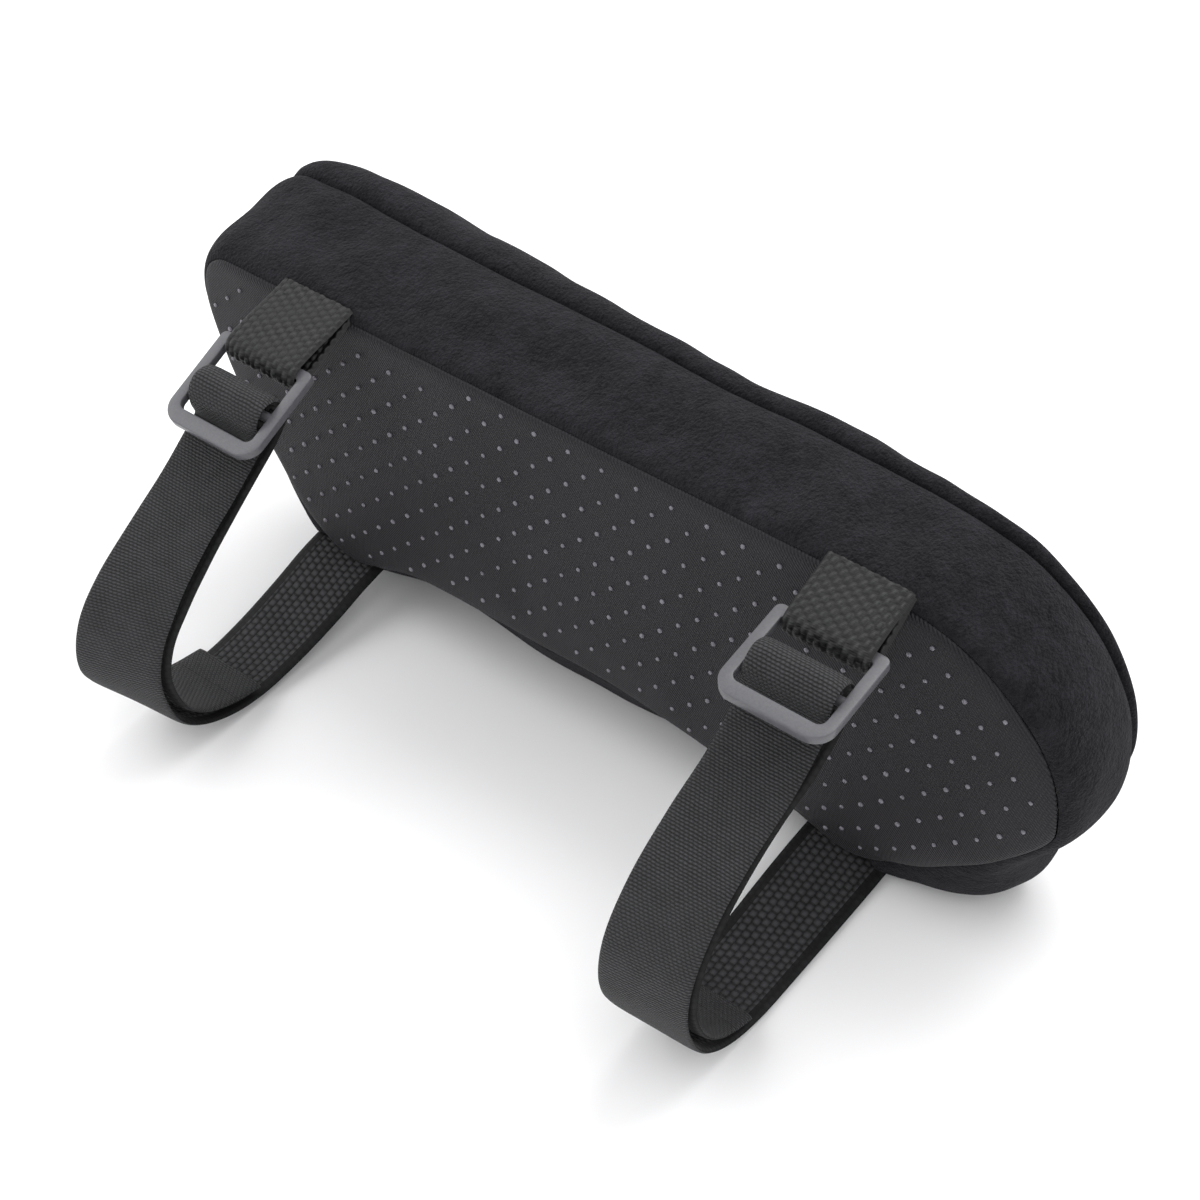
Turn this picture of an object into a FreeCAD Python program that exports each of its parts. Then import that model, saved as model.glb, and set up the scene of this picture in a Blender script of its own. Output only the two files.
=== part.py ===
"""Chair armrest pad: a memory-foam block in a zipped fabric cover, with two adjustable elastic straps.

The pad lies on one long side. X runs along the pad, Z is up across its width, and Y goes from the strap
side (low Y) through the base panel to the contact side (high Y). The origin is the middle of the
footprint on the surface that the pad lies on. Lengths are in millimetres.
"""
import FreeCAD, Part
import math
import os

# Driving dimensions of the pad
PAD_LENGTH = 233.0
PAD_WIDTH = 91.0
PAD_THICKNESS = 46.0
STRAP_REACH = 71.0
BASE_Y = (STRAP_REACH - PAD_THICKNESS) / 2
NOSE_LENGTH = 46.5
HEEL_RADIUS = 46.0
TOP_CORNER_RADIUS = 13.0
COVER_THICKNESS = 1.5
BASE_EDGE_RADIUS = 3.0
CONTACT_EDGE_RADIUS = 8.0
CONTACT_SEAM_DEPTH = 9.0

# Contact side: height above the base panel at places along the pad, from the thick end to the nose
CONTACT_PROFILE = [(-0.5, 45.2), (-0.36, 46.0), (-0.05, 41.6), (0.2, 41.2), (0.37, 40.6), (0.5, 36.5)]

# Closure in the lower long side
ZIP_LENGTH = 124.0
ZIP_SLOT_WIDTH = 10.0
ZIP_SLOT_DEPTH = 5.2
ZIP_MIDDLE_Y = BASE_Y + 20.0
COIL_WIDTH = 1.5
COIL_HEIGHT = 1.3
COIL_BOTTOM = 2.9
TAPE_THICKNESS = 0.5
TAPE_GAP = 0.4
SLIDER_LENGTH = 8.0
SLIDER_X = ZIP_LENGTH / 2 - 8.0
PULL_LENGTH = 15.0
PULL_WIDTH = 5.0
PULL_THICKNESS = 0.7
PULL_PIVOT_Z = 1.4

# Grip dots printed on the base panel, in a square lattice turned by 45 degrees
DOT_PITCH = 6.24
DOT_RADIUS = 0.65
DOT_HEIGHT = 0.4
DOT_MARGIN = 6.0

# Webbing, elastic and buckles
WEBBING_WIDTH = 20.0
TAB_THICKNESS = 1.3
STRAP_THICKNESS = 1.5
BUCKLE_WIDTH = 26.0
BUCKLE_LENGTH = 23.6
BUCKLE_THICKNESS = 2.4
BUCKLE_CORNER = 4.0
BUCKLE_EDGE = 0.6
SIDE_BAR = 2.6
BOTTOM_BAR = 3.4
MIDDLE_BAR = 2.2
MIDDLE_BAR_PLACE = 11.6
TOP_BAR_RADIUS = 1.3
PIVOT_CLEARANCE = 0.3
TAB_ROOT_Z = PAD_WIDTH - 4.0
TAB_ROOT_GAP = 0.6

# One entry per strap: place along the pad, buckle pivot (y, z), buckle slope in degrees below level,
# then centre lines (y, z) of the loop and of the tail inside it, and the shares of them at which the
# floor run ends and the tail's loose end begins.
STRAPS = {
    "left": {
        "x": -78.8,
        "pivot": (-2.6, 82.6),
        "slope": 24.0,
        "loop": [(12.1, 9.0), (2.0, 6.1), (-11.0, 3.5), (-24.0, 2.4), (-34.0, 3.9), (-43.0, 8.0),
                 (-51.0, 15.5), (-56.2, 27.0), (-54.5, 38.0), (-47.5, 47.5), (-37.0, 56.0), (-26.0, 63.6),
                 (-17.2, 70.6)],
        "floor_share": 0.38,
        "tail": [(-7.6, 75.0), (-12.4, 69.6), (-18.6, 64.8), (-26.0, 59.2), (-36.0, 52.0), (-45.0, 44.6),
                 (-51.4, 36.6), (-53.2, 27.6), (-48.8, 17.6), (-41.8, 10.9), (-34.0, 7.2), (-25.0, 5.2)],
        "loose_share": 0.90,
    },
    "right": {
        "x": 63.8,
        "pivot": (1.6, 81.9),
        "slope": 9.0,
        "loop": [(12.3, 0.8), (0.0, 0.8), (-14.0, 0.8), (-28.0, 1.2), (-38.0, 3.8), (-46.5, 9.3),
                 (-53.3, 18.5), (-57.0, 29.5), (-55.6, 41.0), (-48.0, 52.0), (-36.5, 60.0), (-24.0, 66.2),
                 (-14.9, 74.0)],
        "floor_share": 0.34,
        "tail": [(-4.9, 75.6), (-9.2, 70.0), (-17.0, 64.9), (-27.0, 61.3), (-37.0, 56.0), (-46.5, 48.6),
                 (-52.6, 39.6), (-54.0, 29.6), (-50.6, 19.8), (-44.2, 11.3), (-36.5, 6.2), (-28.0, 4.0)],
        "loose_share": 0.91,
    },
}
LOOSE_END_GAP = 0.004

# Blocks used for cutting reach this far past the shape that they cut
MARGIN = 10.0


def vec(x, y, z):
    return FreeCAD.Vector(x, y, z)


def block(x0, x1, y0, y1, z0, z1):
    """A box between two corners."""
    return Part.makeBox(x1 - x0, y1 - y0, z1 - z0, vec(x0, y0, z0))


def ellipse_quarter(centre, first, second):
    """A quarter ellipse in the XZ plane, from centre + first to centre + second."""
    major, minor = (first, second) if first.Length >= second.Length else (second, first)
    if abs(major.Length - minor.Length) < 1e-6:
        middle = centre + (first + second) * math.sqrt(0.5)
        return Part.Arc(centre + first, middle, centre + second).toShape()
    curve = Part.Ellipse(centre + major, centre + minor, centre)
    return Part.Arc(curve, 0, math.pi / 2).toShape()


def outline_wire(inset):
    """The pad's outline across the XZ plane: flat long sides, round nose, square upper heel corner."""
    half = PAD_LENGTH / 2 - inset
    low, high = inset, PAD_WIDTH - inset
    middle = PAD_WIDTH / 2
    nose_x = PAD_LENGTH / 2 - NOSE_LENGTH
    heel_x = -PAD_LENGTH / 2 + HEEL_RADIUS
    corner_x = -PAD_LENGTH / 2 + TOP_CORNER_RADIUS
    corner_z = PAD_WIDTH - TOP_CORNER_RADIUS
    corner = TOP_CORNER_RADIUS - inset
    edges = [
        Part.makeLine(vec(corner_x, 0, high), vec(nose_x, 0, high)),
        ellipse_quarter(vec(nose_x, 0, middle), vec(0, 0, high - middle), vec(half - nose_x, 0, 0)),
        ellipse_quarter(vec(nose_x, 0, middle), vec(half - nose_x, 0, 0), vec(0, 0, low - middle)),
        Part.makeLine(vec(nose_x, 0, low), vec(heel_x, 0, low)),
        ellipse_quarter(vec(heel_x, 0, middle), vec(0, 0, low - middle), vec(-half - heel_x, 0, 0)),
        Part.makeLine(vec(-half, 0, middle), vec(-half, 0, corner_z)),
        ellipse_quarter(vec(corner_x, 0, corner_z), vec(-corner, 0, 0), vec(0, 0, corner)),
    ]
    return Part.Wire(Part.__sortEdges__(edges))


def under_contact(drop):
    """Everything from just below the base face up to the contact surface lowered by drop."""
    overhang = 1.05
    base_y = BASE_Y - 1.0
    points = [vec(x * PAD_LENGTH * overhang, BASE_Y + y - drop, 0) for x, y in CONTACT_PROFILE]
    curve = Part.BSplineCurve()
    curve.interpolate(points)
    first, last = points[0], points[-1]
    edges = [
        curve.toShape(),
        Part.makeLine(last, vec(last.x, base_y, 0)),
        Part.makeLine(vec(last.x, base_y, 0), vec(first.x, base_y, 0)),
        Part.makeLine(vec(first.x, base_y, 0), first),
    ]
    face = Part.Face(Part.Wire(edges))
    face.translate(vec(0, 0, -MARGIN))
    return face.extrude(vec(0, 0, PAD_WIDTH + 2 * MARGIN))


def pad_body(inset):
    """The rounded pad, made smaller all round by inset."""
    face = Part.Face(outline_wire(inset))
    prism = face.extrude(vec(0, 2 * PAD_THICKNESS, 0))
    prism.translate(vec(0, BASE_Y + inset, 0))
    body = prism.common(under_contact(inset))
    base_edges = []
    for edge in body.Edges:
        heights = [v.Point.y for v in edge.Vertexes]
        if max(heights) < BASE_Y + inset + 0.01:
            base_edges.append(edge)
    body = body.makeFillet(BASE_EDGE_RADIUS - inset, base_edges)
    upper_half = BASE_Y + PAD_THICKNESS / 2
    contact_edges = [e for e in body.Edges if min(v.Point.y for v in e.Vertexes) > upper_half]
    return body.makeFillet(CONTACT_EDGE_RADIUS - inset, contact_edges)


def zip_slot():
    """The groove that the closure lies in."""
    half, reach = ZIP_LENGTH / 2, ZIP_SLOT_WIDTH / 2
    return block(-half, half, ZIP_MIDDLE_Y - reach, ZIP_MIDDLE_Y + reach, -MARGIN, ZIP_SLOT_DEPTH)


def make_cover(parts):
    """Foam core, and the panels and bands sewn round it."""
    outer = pad_body(0.0)
    inner = pad_body(COVER_THICKNESS)
    shell = outer.cut(inner).cut(zip_slot())
    parts["foam_core"] = inner.cut(zip_slot())
    base_side = block(-PAD_LENGTH, PAD_LENGTH, BASE_Y - MARGIN, BASE_Y + BASE_EDGE_RADIUS,
                      -MARGIN, PAD_WIDTH + MARGIN)
    inside_seam = under_contact(CONTACT_SEAM_DEPTH)
    parts["base_panel"] = shell.common(base_side)
    parts["contact_panel"] = shell.cut(inside_seam)
    band = shell.common(inside_seam).cut(base_side)
    half = ZIP_LENGTH / 2
    low = COVER_THICKNESS
    base_strip = block(-half, half, BASE_Y, ZIP_MIDDLE_Y, -MARGIN, low)
    contact_strip = block(-half, half, ZIP_MIDDLE_Y, BASE_Y + PAD_THICKNESS, -MARGIN, low)
    parts["zip_strip_base_side"] = band.common(base_strip)
    parts["zip_strip_contact_side"] = band.common(contact_strip)
    parts["side_band"] = band.cut(base_strip).cut(contact_strip)


def make_dots(parts):
    """The printed grip dots: short discs on the lattice points that lie well inside the panel."""
    inside = Part.Face(outline_wire(DOT_MARGIN))
    step = DOT_PITCH * math.sqrt(0.5)
    columns = int(PAD_LENGTH / step / 2)
    rows = int(PAD_WIDTH / step / 2)
    dots = []
    for i in range(-columns, columns + 1):
        for j in range(-rows, rows + 1):
            spot = vec(i * step, 0, PAD_WIDTH / 2 + j * step)
            if (i + j) % 2 == 0 and inside.isInside(spot, 0.01, True):
                spot.y = BASE_Y - DOT_HEIGHT
                dots.append(Part.makeCylinder(DOT_RADIUS, DOT_HEIGHT, spot, vec(0, 1, 0)))
    parts["grip_dots"] = Part.makeCompound(dots)


def make_closure(parts):
    """Two tapes with their coils, the end stops, the slider and its pull."""
    half = ZIP_LENGTH / 2
    y = ZIP_MIDDLE_Y
    coil_top = COIL_BOTTOM + COIL_HEIGHT
    reach = ZIP_SLOT_WIDTH / 2
    stop_length = 2.0
    for side, sign in (("base_side", -1), ("contact_side", 1)):
        near, far = sorted((y + sign * TAPE_GAP / 2, y + sign * reach))
        parts["zip_tape_" + side] = block(-half, half, near, far, coil_top, coil_top + TAPE_THICKNESS)
        near, far = sorted((y + sign * TAPE_GAP / 2, y + sign * (TAPE_GAP / 2 + COIL_WIDTH)))
        parts["zip_coil_" + side] = block(
            -half + stop_length, half - stop_length, near, far, COIL_BOTTOM, coil_top)
    stops = []
    for end in (-half, half - stop_length):
        stops.append(block(end, end + stop_length, y - COIL_WIDTH, y + COIL_WIDTH, COIL_BOTTOM, coil_top))
    parts["zip_end_stops"] = Part.makeCompound(stops)
    parts["zip_slider"] = slider_solid()
    parts["zip_pull"] = pull_solid()


def slider_solid():
    """Plate under the coils with two upturned flanges, and a bridge below for the pull."""
    x0, x1 = SLIDER_X - SLIDER_LENGTH / 2, SLIDER_X + SLIDER_LENGTH / 2
    y = ZIP_MIDDLE_Y
    flange_in, flange_out = 2.1, 3.2
    plate_low, plate_high = 1.9, 2.6
    flange_top = 3.9
    bridge_low, bridge_bar = 0.35, 0.45
    bridge_half, post = 3.0, 0.8
    body = block(x0, x1, y - flange_out, y + flange_out, plate_low, plate_high)
    body = body.fuse(block(x0, x1, y - flange_out, y - flange_in, plate_low, flange_top))
    body = body.fuse(block(x0, x1, y + flange_in, y + flange_out, plate_low, flange_top))
    for near in (SLIDER_X - bridge_half, SLIDER_X + bridge_half - post):
        body = body.fuse(block(near, near + post, y - post, y + post, bridge_low, plate_low))
    bar = block(SLIDER_X - bridge_half, SLIDER_X + bridge_half, y - post, y + post,
                bridge_low, bridge_low + bridge_bar)
    return body.fuse(bar).removeSplitter()


def pull_solid():
    """A flat tab whose fork carries a cross rod through the slider's bridge."""
    y = ZIP_MIDDLE_Y
    rod_radius = 0.35
    arm_in, arm_out = 1.3, PULL_WIDTH / 2
    arm_end = SLIDER_X - 4.5
    z0, z1 = PULL_PIVOT_Z - PULL_THICKNESS / 2, PULL_PIVOT_Z + PULL_THICKNESS / 2
    pull = Part.makeCylinder(rod_radius, 2 * arm_out, vec(SLIDER_X, y - arm_out, PULL_PIVOT_Z), vec(0, 1, 0))
    for near, far in ((y - arm_out, y - arm_in), (y + arm_in, y + arm_out)):
        pull = pull.fuse(block(arm_end, SLIDER_X, near, far, z0, z1))
    pull = pull.fuse(block(SLIDER_X - PULL_LENGTH, arm_end, y - arm_out, y + arm_out, z0, z1))
    return pull.removeSplitter()


def spline(points, x):
    """A smooth curve through (y, z) points in the plane at x."""
    curve = Part.BSplineCurve()
    curve.interpolate([vec(x, y, z) for y, z in points])
    return curve


def ribbon(curve, start=0.0, end=1.0):
    """Elastic webbing along part of a curve in a plane of constant X, centred on that plane."""
    samples = 12
    low, high = curve.FirstParameter, curve.LastParameter
    left, right = [], []
    for i in range(samples + 1):
        share = start + (end - start) * i / samples
        at = low + (high - low) * share
        point = curve.value(at)
        tangent = curve.tangent(at)[0]
        normal = vec(0, -tangent.z, tangent.y) * (STRAP_THICKNESS / 2)
        left.append(point + normal)
        right.append(point - normal)
    sides = []
    for row in (left, right):
        side = Part.BSplineCurve()
        side.interpolate(row)
        sides.append(side.toShape())
    wire = Part.Wire([sides[0], Part.makeLine(left[-1], right[-1]), sides[1],
                      Part.makeLine(right[0], left[0])])
    face = Part.Face(wire)
    face.translate(vec(-WEBBING_WIDTH / 2, 0, 0))
    return face.extrude(vec(WEBBING_WIDTH, 0, 0))


def on_buckle(shape, strap):
    """Moves a shape from the buckle's own axes (Y away from the pad, Z out of the plate) to its place."""
    y, z = strap["pivot"]
    shape = shape.copy()
    shape.rotate(vec(0, 0, 0), vec(0, 0, 1), 180)
    shape.rotate(vec(0, 0, 0), vec(1, 0, 0), strap["slope"])
    shape.translate(vec(strap["x"], y, z))
    return shape


def buckle_solid():
    """Three-bar slider in its own axes: the pivot bar lies on the X axis, the plate runs along +Y."""
    half, thick = BUCKLE_WIDTH / 2, BUCKLE_THICKNESS
    start = -TOP_BAR_RADIUS
    end = BUCKLE_LENGTH + start
    plate = block(-half, half, start, end, -thick / 2, thick / 2)
    upright = [e for e in plate.Edges if abs(e.Vertexes[0].Z - e.Vertexes[1].Z) > thick / 2]
    plate = plate.makeFillet(BUCKLE_CORNER, [e for e in upright if e.Vertexes[0].Y > 0])
    upright = [e for e in plate.Edges
               if abs(e.Vertexes[0].Z - e.Vertexes[-1].Z) > thick / 2 and e.Vertexes[0].Y < 0]
    plate = plate.makeFillet(TOP_BAR_RADIUS, upright)
    rim = [e for e in plate.Edges if min(abs(v.Z) for v in e.Vertexes) > thick / 2 - 0.01]
    plate = plate.makeFillet(BUCKLE_EDGE, rim)
    inside = half - SIDE_BAR
    before_bar = MIDDLE_BAR_PLACE - MIDDLE_BAR / 2
    past_bar = MIDDLE_BAR_PLACE + MIDDLE_BAR / 2
    plate = plate.cut(block(-inside, inside, start - MARGIN, before_bar, -thick, thick))
    plate = plate.cut(block(-inside, inside, past_bar, end - BOTTOM_BAR, -thick, thick))
    overlap = 0.5
    bar = Part.makeCylinder(
        TOP_BAR_RADIUS, 2 * (inside + overlap), vec(-inside - overlap, 0, 0), vec(1, 0, 0))
    return plate.fuse(bar).removeSplitter()


def tab_solid(strap):
    """Webbing folded round the pivot bar, both layers running up to the seam."""
    y, z = strap["pivot"]
    inner = TOP_BAR_RADIUS + PIVOT_CLEARANCE
    outer = inner + TAB_THICKNESS
    root = (BASE_Y + 0.2, TAB_ROOT_Z)
    run = math.hypot(root[0] - y, root[1] - z)
    rise = math.degrees(math.atan2(root[1] - z, root[0] - y))
    half = WEBBING_WIDTH / 2
    fold = Part.makeCylinder(outer, WEBBING_WIDTH, vec(-half, 0, 0), vec(1, 0, 0))
    layers = block(-half, half, 0, run, -outer, outer)
    at_fold = rectangle(0, half, inner, outer)
    at_root = rectangle(run, half, TAB_ROOT_GAP, TAB_ROOT_GAP + TAB_THICKNESS)
    upper = Part.makeLoft([at_fold, at_root], True, True)
    lower = upper.mirror(vec(0, 0, 0), vec(0, 0, 1))
    hole = Part.makeCylinder(inner, WEBBING_WIDTH + 2 * MARGIN, vec(-half - MARGIN, 0, 0), vec(1, 0, 0))
    ring = fold.cut(hole)
    ring = ring.cut(layers)
    tab = ring.fuse([upper, lower]).removeSplitter()
    tab.rotate(vec(0, 0, 0), vec(1, 0, 0), rise)
    tab.translate(vec(strap["x"], y, z))
    outside = block(-PAD_LENGTH, PAD_LENGTH, -PAD_LENGTH, BASE_Y, -MARGIN, PAD_WIDTH + MARGIN)
    return tab.common(outside)


def rectangle(y, half, z0, z1):
    """A closed rectangle across the tab at a distance y from the fold."""
    corners = [vec(-half, y, z0), vec(half, y, z0), vec(half, y, z1), vec(-half, y, z1), vec(-half, y, z0)]
    return Part.makePolygon(corners)


def turn_solid(strap):
    """The elastic where it rolls over the buckle's middle bar."""
    middle = MIDDLE_BAR_PLACE
    roll = [(middle + 5.2, -4.6), (middle + 4.6, -1.0), (middle + 3.2, 2.2), (middle, 3.7),
            (middle - 3.2, 2.2), (middle - 4.4, -1.0), (middle - 4.7, -4.6)]
    return on_buckle(ribbon(spline(roll, 0.0)), strap)


def make_straps(parts):
    """Tab, buckle and elastic of each strap. The elastic is one band, parted where it bends."""
    for side, strap in STRAPS.items():
        x = strap["x"]
        loop = spline(strap["loop"], x)
        parts["webbing_tab_" + side] = tab_solid(strap)
        parts["buckle_" + side] = on_buckle(buckle_solid(), strap)
        parts["strap_turn_" + side] = turn_solid(strap)
        floor_share, loose_share = strap["floor_share"], strap["loose_share"]
        parts["strap_floor_" + side] = ribbon(loop, 0.0, floor_share)
        parts["strap_front_" + side] = ribbon(loop, floor_share, 1.0)
        tail = spline(strap["tail"], x)
        parts["strap_tail_" + side] = ribbon(tail, 0.0, loose_share - LOOSE_END_GAP)
        parts["strap_tail_end_" + side] = ribbon(tail, loose_share, 1.0)


def main():
    os.makedirs("parts", exist_ok=True)
    parts = {}
    make_cover(parts)
    make_dots(parts)
    make_closure(parts)
    make_straps(parts)
    for name, shape in parts.items():
        shape.exportStep("parts/" + name + ".step")
        box = shape.BoundBox
        print(f"{name:26s} solids {len(shape.Solids):3d} valid {shape.isValid()} volume {shape.Volume:10.1f}"
              f"  x {box.XMin:7.1f} {box.XMax:7.1f}  y {box.YMin:6.1f} {box.YMax:6.1f}"
              f"  z {box.ZMin:6.1f} {box.ZMax:6.1f}")


main()
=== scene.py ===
# %% [markdown]
# # A chair armrest pad, built in cells
# The object is a memory-foam pad in a sewn cover: velour round the sides and the contact face, a dark
# twill base printed with grip dots, and two elastic straps with three-bar slider buckles. It lies on one
# long side. X runs along the pad, Z is up across its width, Y goes from the strap side to the contact side.
# Each piece below is a surface worked out with numpy and handed to Blender as a mesh.

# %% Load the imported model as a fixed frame
import functools
import math

import bmesh
import bpy
import numpy as np
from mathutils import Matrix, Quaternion, Vector


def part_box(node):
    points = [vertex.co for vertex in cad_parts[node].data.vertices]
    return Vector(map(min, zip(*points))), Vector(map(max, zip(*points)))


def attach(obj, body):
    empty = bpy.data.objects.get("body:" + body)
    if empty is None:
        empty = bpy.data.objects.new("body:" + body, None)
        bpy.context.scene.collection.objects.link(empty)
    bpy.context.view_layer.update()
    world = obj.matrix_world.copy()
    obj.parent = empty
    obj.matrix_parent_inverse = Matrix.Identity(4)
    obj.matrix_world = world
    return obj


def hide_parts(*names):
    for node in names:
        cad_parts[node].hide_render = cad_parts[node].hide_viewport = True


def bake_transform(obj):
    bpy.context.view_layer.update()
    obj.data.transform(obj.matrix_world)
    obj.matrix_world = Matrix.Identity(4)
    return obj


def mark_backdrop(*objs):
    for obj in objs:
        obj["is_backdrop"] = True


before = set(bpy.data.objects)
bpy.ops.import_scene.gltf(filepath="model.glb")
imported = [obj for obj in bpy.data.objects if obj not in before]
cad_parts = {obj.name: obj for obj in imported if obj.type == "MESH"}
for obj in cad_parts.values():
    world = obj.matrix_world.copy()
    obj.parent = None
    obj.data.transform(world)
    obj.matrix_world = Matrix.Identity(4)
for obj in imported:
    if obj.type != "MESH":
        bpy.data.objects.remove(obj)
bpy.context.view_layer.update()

MM = 0.001

# %% [markdown]
# ## Camera
# Product pictures of small things are taken with a long lens from well above the table, so that parallel
# edges stay nearly parallel. The camera is placed by its position, its heading, its dip and a small roll.

# %% Camera above the strap side
CAMERA_PLACE = (0.21922, -0.28169, 0.4022)
CAMERA_TURN, CAMERA_DIP, CAMERA_ROLL = 36.64, 44.19, 0.87
CAMERA_LENS, CAMERA_SENSOR = 71.11, 36.0


def make_camera():
    """A camera looking along (-sin a cos e, cos a cos e, -sin e), then rolled about that line."""
    a, e, roll = (math.radians(v) for v in (CAMERA_TURN, CAMERA_DIP, CAMERA_ROLL))
    back = Vector((math.sin(a) * math.cos(e), -math.cos(a) * math.cos(e), math.sin(e)))
    data = bpy.data.cameras.new("camera")
    data.lens, data.sensor_width = CAMERA_LENS, CAMERA_SENSOR
    camera = bpy.data.objects.new("camera", data)
    bpy.context.scene.collection.objects.link(camera)
    camera.location = CAMERA_PLACE
    camera.rotation_mode = "QUATERNION"
    camera.rotation_quaternion = (-back).to_track_quat("-Z", "Y") @ Quaternion((0, 0, 1), roll)
    bpy.context.scene.camera = camera
    return camera


make_camera()
print("camera at", CAMERA_PLACE, "lens", CAMERA_LENS)

# %% [markdown]
# ## Small helpers
# A hex colour as people read it has to become linear light before a shader uses it. One function adds any
# node with its settings and links. One turns an array of points into a mesh, and one cleans a mesh up.

# %% Colours, nodes and meshes


def linear(code):
    """An sRGB hex colour as linear light: (v + 0.055) / 1.055 to the power 2.4 above the short toe."""
    v = np.array([int(code[i:i + 2], 16) for i in (1, 3, 5)]) / 255
    light = np.where(v <= 0.04045, v / 12.92, ((v + 0.055) / 1.055) ** 2.4)
    return (*light.tolist(), 1.0)


def add(tree, kind, *inputs, settings=None, **named):
    """Adds a node; a kind in capitals is an operation of a Math node. Inputs come in socket order or by
    name; each is a number, a socket, or a node, whose first output is wired in."""
    made = tree.nodes.new("ShaderNode" + ("Math" if kind.isupper() else kind))
    if kind.isupper():
        made.operation = kind
    for key, value in (settings or {}).items():
        setattr(made, key, value)
    for key, value in (*enumerate(inputs), *named.items()):
        if isinstance(value, bpy.types.Node):
            value = value.outputs[0]
        if isinstance(value, bpy.types.NodeSocket):
            tree.links.new(value, made.inputs[key])
        else:
            made.inputs[key].default_value = value
    return made


def new_material(name, **sockets):
    """A Principled material with its even sockets set: returns it, its own node adder and the shader."""
    material = bpy.data.materials.new(name)
    material.use_nodes = True
    shader = material.node_tree.nodes["Principled BSDF"]
    for key, value in sockets.items():
        shader.inputs[key.replace("_", " ")].default_value = value
    return material, functools.partial(add, material.node_tree), shader


def grid_faces(rows, columns, close_rows=False, close_columns=False):
    """Quads of a grid of points counted row by row, wrapped round where a direction is closed."""
    i = np.arange(rows if close_rows else rows - 1)[:, None]
    j = np.arange(columns if close_columns else columns - 1)[None]
    i1, j1 = (i + 1) % rows, (j + 1) % columns
    corners = (i * columns + j, i1 * columns + j, i1 * columns + j1, i * columns + j1)
    return np.stack(corners, -1).reshape(-1, 4)


def make_piece(name, points, faces, material, attributes=None, smooth=True):
    """A mesh object at the origin from points in mm and faces; attributes are one vector per point."""
    mesh = bpy.data.meshes.new(name)
    faces = faces.tolist() if isinstance(faces, np.ndarray) else faces
    mesh.from_pydata((np.asarray(points).reshape(-1, 3) * MM).tolist(), [], faces)
    for key, values in (attributes or {}).items():
        layer = mesh.attributes.new(key, "FLOAT_VECTOR", "POINT")
        layer.data.foreach_set("vector", np.asarray(values, np.float32).reshape(-1))
    mesh.materials.append(material)
    mesh.update()
    if smooth:
        mesh.shade_smooth()
    piece = bpy.data.objects.new(name, mesh)
    bpy.context.scene.collection.objects.link(piece)
    return piece


def clean_up(piece, merge=False, outwards=True):
    """Merges points that coincide, if asked, then turns all faces outwards, or drops the empty ones."""
    work = bmesh.new()
    work.from_mesh(piece.data)
    if merge:
        bmesh.ops.remove_doubles(work, verts=work.verts, dist=1e-6)
    if outwards:
        bmesh.ops.recalc_face_normals(work, faces=work.faces)
    else:
        bmesh.ops.dissolve_degenerate(work, edges=work.edges, dist=1e-6)
    work.to_mesh(piece.data)
    work.free()
    piece.data.shade_smooth()


def smooth_step(t):
    """0 below 0, 1 above 1, with a soft start and a soft end."""
    t = np.clip(t, 0, 1)
    return t * t * (3 - 2 * t)


def unit(vectors):
    """Vectors with their length made 1."""
    return vectors / np.linalg.norm(vectors, axis=-1, keepdims=True)


def distance_along(line):
    """How far along a line each of its points is."""
    return np.concatenate([[0], np.cumsum(np.linalg.norm(np.diff(line, axis=0), axis=1))])


def spread(line, count, endpoint=True):
    """The same line through points an even distance apart."""
    along = distance_along(line)
    even = np.linspace(0, along[-1], count, endpoint=endpoint)
    return np.stack([np.interp(even, along, column) for column in line.T], 1)


def ripple(points, size, seed, waves=24):
    """Soft random relief between about -1 and 1: a sum of sine waves of many headings, size mm long."""
    random = np.random.default_rng(seed)
    heading = unit(random.normal(size=(waves, 3)))
    number = 2 * np.pi / (size * random.uniform(0.7, 1.6, waves))
    phase = random.uniform(0, 2 * np.pi, waves)
    return np.sin(points @ heading.T * number + phase).sum(-1) / math.sqrt(waves / 2) / 1.6


# %% [markdown]
# ## Finishes
# Velour is a knit with a short cut pile. The pile swallows light seen from above and catches a little at
# grazing angles, and it lies in patches where it was stroked or pressed. That is a very dark, rough base
# with some sheen, mottled at 3 to 16 mm, and a bump as fine as the tufts. Every finish ends in the same two
# steps, a colour from a ramp and a bump, so they are one function.

# %% Black velour
PILE_SIZE, CLUMP_SIZE, PATCH_SIZE = 0.7, 2.8, 16.13


def finish(node, shader, shade, dark, light, height, strength, depth):
    """Colour and bump: shade runs between two (place, hex) stops; height is depth mm from low to high."""
    ramp = node("ValToRGB", shade)
    for stop, (place, code) in zip(ramp.color_ramp.elements, (dark, light)):
        stop.position, stop.color = place, linear(code)
    bump = node("Bump", Strength=strength, Distance=depth * MM, Height=height)
    for made, socket in ((ramp, "Base Color"), (bump, "Normal")):
        shader.id_data.links.new(made.outputs[0], shader.inputs[socket])


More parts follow.
